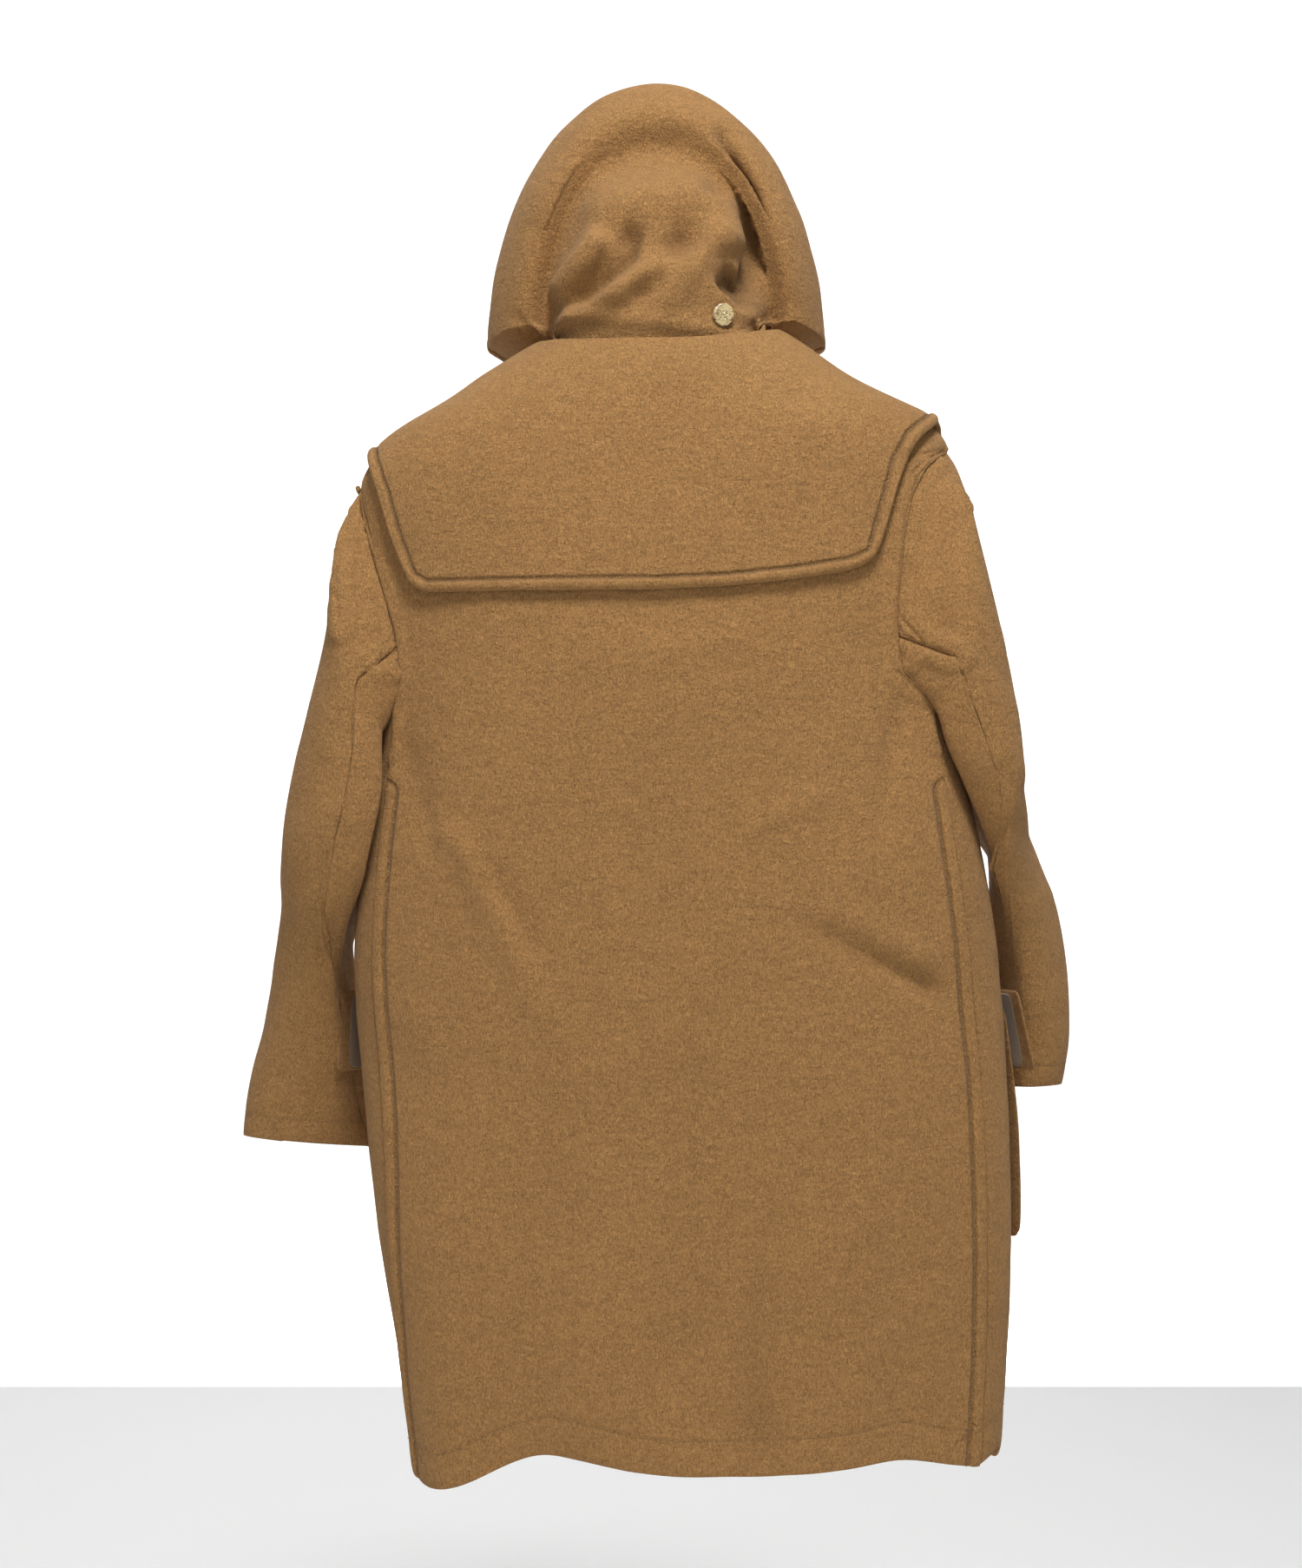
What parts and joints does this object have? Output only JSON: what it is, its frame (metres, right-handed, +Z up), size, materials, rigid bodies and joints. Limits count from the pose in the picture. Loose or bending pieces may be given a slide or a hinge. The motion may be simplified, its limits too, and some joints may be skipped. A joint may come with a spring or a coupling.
{
  "type": "duffle coat",
  "caption": "Hooded camel wool duffle coat in its worn shape, hollow, with yoke cape, horn toggles and flapped pockets.",
  "frame": {"origin": "middle of the neck opening, at the height of the back neck seam", "axes": "+Z up along the coat, the front faces -Y, the wearer's left is +X"},
  "size_m": [0.7033, 0.2242, 1.1688],
  "materials": {
    "wool": "brushed wool",
    "satin": "smooth lining",
    "leather": "matt",
    "cord": "braided",
    "horn": "polished horn",
    "pale_horn": "polished horn"
  },
  "bodies": {
    "root": {"back": "wool", "front_left": "wool", "front_right": "wool", "yoke_cape": "wool", "hood": "wool", "sleeve_left_upper": "wool", "sleeve_left_under": "wool", "sleeve_right_upper": "wool", "sleeve_right_under": "wool", "pocket_left": "wool", "pocket_right": "wool", "flap_left": "wool", "flap_right": "wool", "flap_left_lining": "satin", "flap_right_lining": "satin", "toggle_1": "horn", "toggle_2": "horn", "toggle_3": "horn", "toggle_cord_1": "cord", "toggle_cord_2": "cord", "toggle_cord_3": "cord", "loop_cord_1": "cord", "loop_cord_2": "cord", "loop_cord_3": "cord", "patch_left_1": "leather", "patch_left_2": "leather", "patch_left_3": "leather", "patch_right_1": "leather", "patch_right_2": "leather", "patch_right_3": "leather", "hood_button": "pale_horn"}
  },
  "joints": []
}
